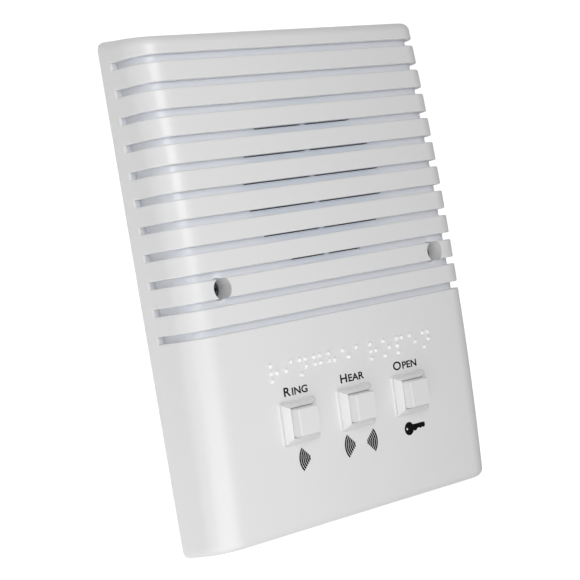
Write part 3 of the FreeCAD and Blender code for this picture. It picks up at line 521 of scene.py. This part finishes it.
def buildWords(ink):
    # Each word is a tall first letter and its smaller rest, centred over a button. The flat letters
    # stand on the crowned face: x = across + offset, z = baseline + up, y = faceY(z) - lift.
    shapes = []
    for first, rest, centre in words["texts"]:
        big = letterShapes(first, words["firstHeight"])
        small = letterShapes(rest, words["restHeight"])
        width = big[2] + words["letterGap"] + small[2]
        left = centre - width / 2
        for (letters, faces, _), offset in ((big, left), (small, left + width - small[2])):
            z = words["baseline"] + letters[:, 1]
            shapes.append((np.column_stack([letters[:, 0] + offset, faceY(z) - words["lift"], z]), faces))
    piece = meshPiece("printed_words", *joined(shapes), ink)
    flipToFront(piece)
    return piece


# Sound fans below the buttons: tip, opening direction and arcs
fans = {
    "tips": [(-21.9, -57.1, -1), (-1.65, -56.85, -1), (2.6, -57.1, 1)],
    "arcCount": 6,
    "firstRadius": 1.0,
    "lastRadius": 5.1,
    "stroke": 0.6,
    "halfAngle": 44.0,
    "pointsPerArc": 25,
    "lift": 0.02,
    "thickness": 0.02,
}


def buildFans(ink):
    # arcs of evenly growing radius round each tip: x = tip + way * r * cos(a), z = tip + r * sin(a)
    angles = np.radians(np.linspace(-fans["halfAngle"], fans["halfAngle"], fans["pointsPerArc"]))
    radii = np.linspace(fans["firstRadius"], fans["lastRadius"], fans["arcCount"])
    shapes = []
    for tipX, tipZ, way in fans["tips"]:
        for radius in radii:
            outer, inner = [
                np.column_stack([tipX + way * r * np.cos(angles), tipZ + r * np.sin(angles)])
                for r in (radius + fans["stroke"] / 2, radius - fans["stroke"] / 2)
            ]
            shapes.append(inkStrip(outer, inner, fans))
    return facingOut(meshPiece("printed_fans", *joined(shapes), ink))


# Key sign below the right button
keySign = {
    "bowX": 23.3,
    "bowZ": -56.55,
    "bowRadius": 2.2,
    "holeX": 22.3,
    "holeRadius": 0.38,
    "pointsPerRing": 49,
    "bladeTop": -55.45,
    "bits": [(25.0, -57.2), (25.9, -57.7), (26.4, -57.7), (27.1, -57.2), (27.7, -56.95), (28.3, -57.05),
             (28.7, -57.4), (29.2, -57.1), (29.7, -57.0), (30.3, -57.25), (30.7, -57.05), (30.95, -56.7)],
    "roundStart": 30.3,
    "roundRadius": 0.7,
    "lift": 0.02,
    "thickness": 0.02,
}


def buildKey(ink):
    # The bow is a strip between its rim and its hole, each x = centre + r * cos(a), z = bow + r * sin(a).
    # The blade lies between a straight top, which an arc rounds off at the tip, and its bits below.
    k = keySign
    turns = np.linspace(0, 2 * np.pi, k["pointsPerRing"])
    rim, hole = [
        np.column_stack([centre + r * np.cos(turns), k["bowZ"] + r * np.sin(turns)])
        for centre, r in ((k["bowX"], k["bowRadius"]), (k["holeX"], k["holeRadius"]))
    ]
    bits = np.array(k["bits"])
    pastRound = np.maximum(0.0, bits[:, 0] - k["roundStart"])
    drop = k["roundRadius"] - np.sqrt(k["roundRadius"] ** 2 - pastRound ** 2)
    top = np.column_stack([bits[:, 0], k["bladeTop"] - drop])
    shapes = [inkStrip(rim, hole, k), inkStrip(top, bits, k)]
    return facingOut(meshPiece("printed_key", *joined(shapes), ink))


wallSetup = {
    "width": 4000.0,
    "height": 4000.0,
    "opening": (124.6, 160.2),
    "behind": 0.3,
    "paint": "#F2F2F2",
    "glow": 0.56,
}


def buildWall():
    # A white wall just behind the rim, open where the panel covers it. It glows a little for the camera
    # alone, so that it shows white, and is clear from behind, so that the panel's back can be seen.
    w = wallSetup
    corners = np.array([(-1, -1), (1, -1), (1, 1), (-1, 1)])
    outer, inner = corners * (w["width"] / 2, w["height"] / 2), corners * np.array(w["opening"]) / 2
    x, z = np.concatenate([outer, inner]).T
    points = np.column_stack([x, np.full(len(x), w["behind"]), z])
    faces = [(i, (i + 1) % 4, 4 + (i + 1) % 4, 4 + i) for i in range(4)]
    material, tree = newMaterial("Studio wall, white")
    path = addNode(tree, "ShaderNodeLightPath")
    glow = addNode(tree, "ShaderNodeMath", {
        0: path.outputs["Is Camera Ray"], 1: w["glow"],
    }, operation="MULTIPLY")
    paint = addNode(tree, "ShaderNodeBsdfPrincipled", {
        "Base Color": linear(w["paint"]),
        "Roughness": 1.0,
        "Emission Color": linear("#FFFFFF"),
        "Emission Strength": glow.outputs["Value"],
    })
    geometry = addNode(tree, "ShaderNodeNewGeometry")
    clear = addNode(tree, "ShaderNodeBsdfTransparent")
    mix = addNode(tree, "ShaderNodeMixShader", {
        0: geometry.outputs["Backfacing"], 1: paint.outputs["BSDF"], 2: clear.outputs["BSDF"],
    })
    addNode(tree, "ShaderNodeOutputMaterial", {"Surface": mix.outputs["Shader"]})
    wall = meshPiece("studio_wall", points, faces, material)
    flipToFront(wall)


# Lamps: degrees to the right of straight out from the panel (less than 0 is to the left), degrees
# above level, distance from the origin, size of the square, and watts
lamps = {
    "key": {"side": -21.0, "rise": 17.4, "distance": 400.0, "size": 220.0, "power": 0.61},
    "low": {"side": -35.8, "rise": -41.4, "distance": 340.0, "size": 420.0, "power": 0.72},
}


def buildLamps():
    for name, lamp in lamps.items():
        side = math.radians(lamp["side"])
        rise = math.radians(lamp["rise"])
        level = math.cos(rise)
        direction = Vector((math.sin(side) * level, -math.cos(side) * level, math.sin(rise)))
        light = bpy.data.lights.new(name + "_lamp", "AREA")
        light.shape = "SQUARE"
        light.size = lamp["size"] * mm
        light.energy = lamp["power"]
        holder = bpy.data.objects.new(name + "_lamp", light)
        holder.location = direction * lamp["distance"] * mm
        holder.rotation_mode = "QUATERNION"
        holder.rotation_quaternion = (-direction).to_track_quat("-Z", "Y")
        bpy.context.scene.collection.objects.link(holder)


# Light from all round: its strength from level, and the share that it gains towards the top
# and loses towards the bottom
surround = {"strength": 0.26, "tilt": 0.45}


def buildWorld():
    # the camera alone sees it as plain white, a strength of 1
    world = bpy.data.worlds.new("Studio light")
    world.use_nodes = True
    tree = world.node_tree
    tree.nodes.clear()
    coords = addNode(tree, "ShaderNodeTexCoord")
    split = addNode(tree, "ShaderNodeSeparateXYZ", {"Vector": coords.outputs["Generated"]})
    fromAbove = addNode(tree, "ShaderNodeMapRange", {
        "Value": split.outputs["Z"],
        "From Min": -1.0,
        "From Max": 1.0,
        "To Min": surround["strength"] * (1 - surround["tilt"]),
        "To Max": surround["strength"] * (1 + surround["tilt"]),
    })
    path = addNode(tree, "ShaderNodeLightPath")
    strength = addNode(tree, "ShaderNodeMapRange", {
        "Value": path.outputs["Is Camera Ray"], "To Min": fromAbove.outputs["Result"], "To Max": 1.0,
    })
    background = addNode(tree, "ShaderNodeBackground", {
        "Color": linear("#FFFFFF"), "Strength": strength.outputs["Result"],
    })
    addNode(tree, "ShaderNodeOutputWorld", {"Surface": background.outputs["Background"]})
    bpy.context.scene.world = world


# Camera solved from the panel's edges and grooves: its place, its three axes and its lens
cameraSetup = {
    "place": (-408.061, -442.598, 5.432),
    "right": (0.723318, -0.670089, -0.166710),
    "up": (0.133824, -0.100816, 0.985864),
    "back": (-0.677423, -0.735403, 0.016752),
    "lens": 113.064,
    "sensor": 36.0,
    "nearest": 10.0,
}


def buildCamera():
    c = cameraSetup
    data = bpy.data.cameras.new("camera")
    data.lens = c["lens"]
    data.sensor_width = c["sensor"]
    data.clip_start = c["nearest"] * mm
    holder = bpy.data.objects.new("camera", data)
    turn = Matrix((c["right"], c["up"], c["back"])).transposed()
    holder.matrix_world = Matrix.Translation(Vector(c["place"]) * mm) @ turn.to_4x4()
    bpy.context.scene.collection.objects.link(holder)
    bpy.context.scene.camera = holder


bpy.ops.wm.read_factory_settings(use_empty=True)
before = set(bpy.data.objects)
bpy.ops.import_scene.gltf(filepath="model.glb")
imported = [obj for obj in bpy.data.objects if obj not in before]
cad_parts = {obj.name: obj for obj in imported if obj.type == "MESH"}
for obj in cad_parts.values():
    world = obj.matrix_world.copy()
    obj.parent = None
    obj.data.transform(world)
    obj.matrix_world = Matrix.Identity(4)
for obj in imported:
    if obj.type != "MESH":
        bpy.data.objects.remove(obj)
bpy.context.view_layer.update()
print("frame loaded:", len(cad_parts), "nodes")

materials = makeMaterials()
for nodeName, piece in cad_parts.items():
    piece.data.materials.clear()
    piece.data.materials.append(materials[nodeFinish[nodeName]])
print("finishes set")

for printed in (buildWords(materials["ink"]), buildFans(materials["ink"]), buildKey(materials["ink"])):
    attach(printed, "station")
print("print laid on the panel")

buildWall()
buildLamps()
buildWorld()
buildCamera()
bpy.context.scene.view_settings.view_transform = "Standard"
print("stage ready")
